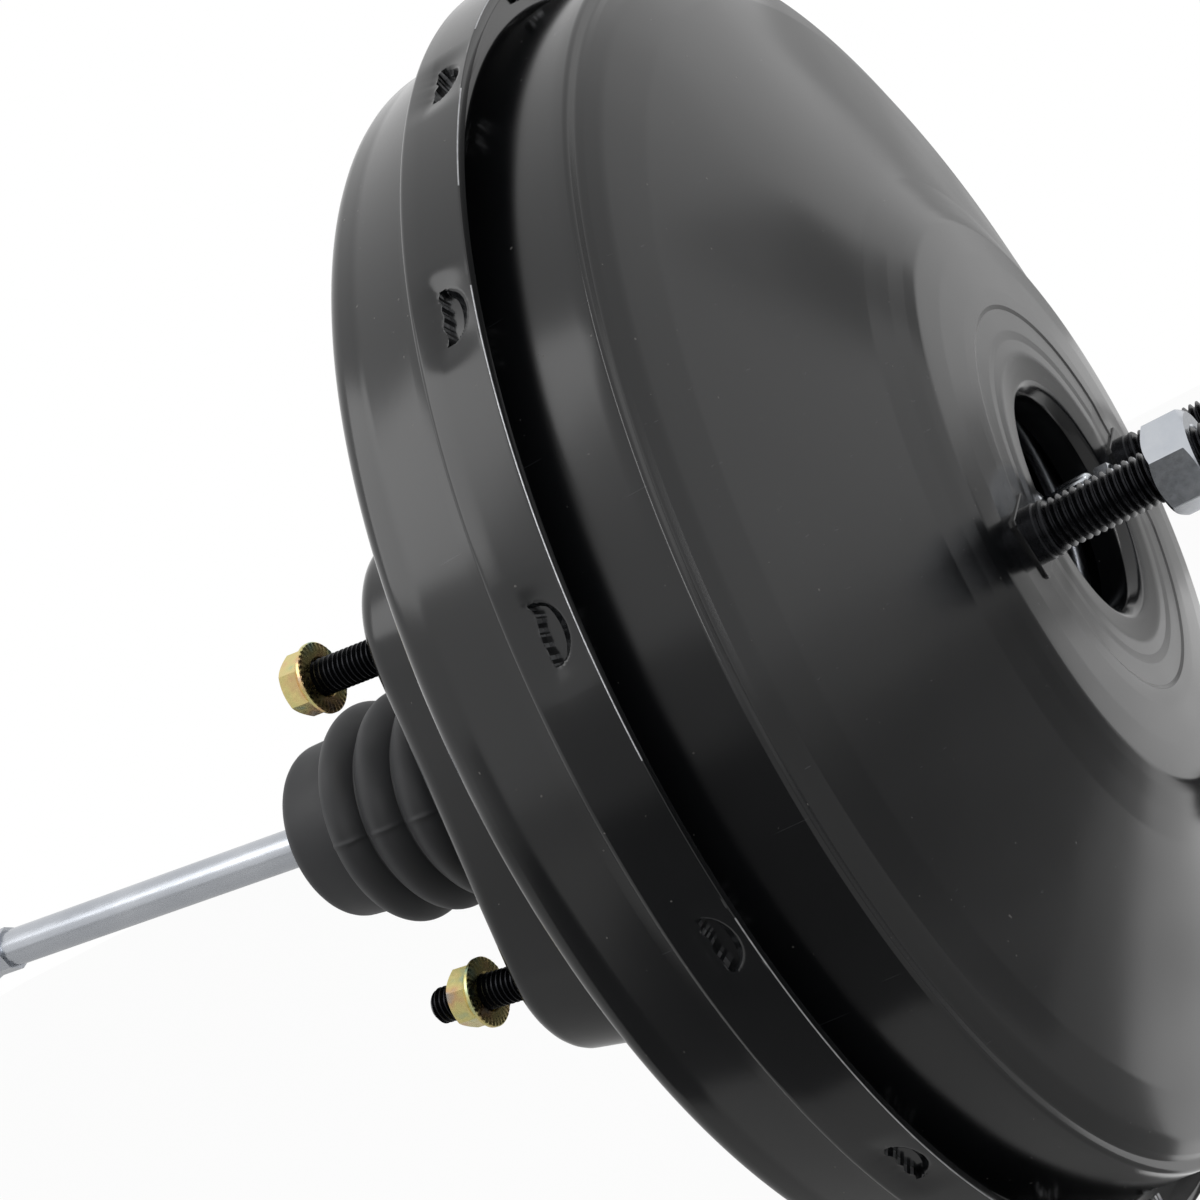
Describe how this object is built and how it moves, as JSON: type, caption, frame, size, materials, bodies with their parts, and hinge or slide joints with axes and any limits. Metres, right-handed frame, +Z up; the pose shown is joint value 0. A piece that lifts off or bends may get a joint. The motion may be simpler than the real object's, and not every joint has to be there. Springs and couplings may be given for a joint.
{
  "type": "vacuum brake booster",
  "caption": "Vacuum brake booster: crimped steel shells with lanced rim tabs, inclined stud pad, rubber boot, pedal rod, sliding power piston and adjustable output rod.",
  "frame": {"origin": "middle of the four firewall studs, on the outer face of the inclined firewall pad", "axes": "+X along the booster axis towards the master cylinder, +Z up through the upper pair of firewall studs, +Y across to complete a right-handed frame"},
  "size_m": [0.3774, 0.2812, 0.2812],
  "materials": {
    "black_paint": "gloss",
    "black_steel": "satin",
    "yellow_zinc": "satin",
    "bright_zinc": "satin",
    "spring_steel": "satin",
    "rubber": "matte",
    "moulded_black": "matte",
    "moulded_ivory": "matte",
    "foam": "matte"
  },
  "bodies": {
    "shell": {"rear_shell": "black_paint", "front_shell": "black_paint", "pad_backing_plate": "black_steel", "hub_backing_plate": "black_steel", "firewall_studs": "black_steel", "firewall_nuts": "yellow_zinc", "cylinder_studs": "black_steel", "cylinder_nuts": "bright_zinc", "diaphragm": "rubber", "boot": "rubber", "tube_seal": "rubber", "tube_bearing": "moulded_ivory", "return_spring": "spring_steel", "port_grommet": "rubber", "check_valve_base": "moulded_black", "check_valve_cap": "moulded_black", "check_valve_spring": "spring_steel"},
    "power_piston": {"valve_body": "moulded_black", "diaphragm_plate": "bright_zinc", "stop_key": "bright_zinc", "control_valve": "rubber", "control_valve_retainer": "bright_zinc", "control_valve_spring": "spring_steel", "rod_return_spring": "spring_steel", "air_filter": "foam", "reaction_disc": "rubber", "output_rod": "bright_zinc", "spring_seat": "bright_zinc"},
    "air_valve": {"air_valve": "bright_zinc"},
    "input_rod": {"input_rod": "bright_zinc"},
    "adjusting_screw": {"adjusting_screw": "bright_zinc"},
    "check_valve_disc": {"check_valve_disc": "rubber"}
  },
  "joints": [
    {"name": "power_stroke", "type": "slide", "parent": "shell", "child": "power_piston", "axis": [1, 0, 0], "range_m": [0, 0.03], "stiffness_N_per_m": 3000, "springref_m": -0.03, "deforming": ["return_spring", "diaphragm", "boot"]},
    {"name": "air_valve_travel", "type": "slide", "parent": "power_piston", "child": "air_valve", "axis": [1, 0, 0], "range_m": [0, 0.0015], "stiffness_N_per_m": 800, "springref_m": -0.02, "deforming": ["control_valve", "control_valve_spring", "rod_return_spring"]},
    {"name": "rod_swing", "type": "hinge", "parent": "air_valve", "child": "input_rod", "pos_m": [0.012, 0, 0], "axis": [0, 1, 0], "range_deg": [-3, 3], "deforming": ["rod_return_spring", "air_filter", "boot"]},
    {"name": "screw_reach", "type": "slide", "parent": "power_piston", "child": "adjusting_screw", "axis": [1, 0, 0], "range_m": [-0.0006, 0.004]},
    {"name": "check_valve_lift", "type": "slide", "parent": "shell", "child": "check_valve_disc", "axis": [1, 0, 0], "range_m": [0, 0.0015], "stiffness_N_per_m": 60, "springref_m": -0.004, "deforming": ["check_valve_spring"]}
  ]
}
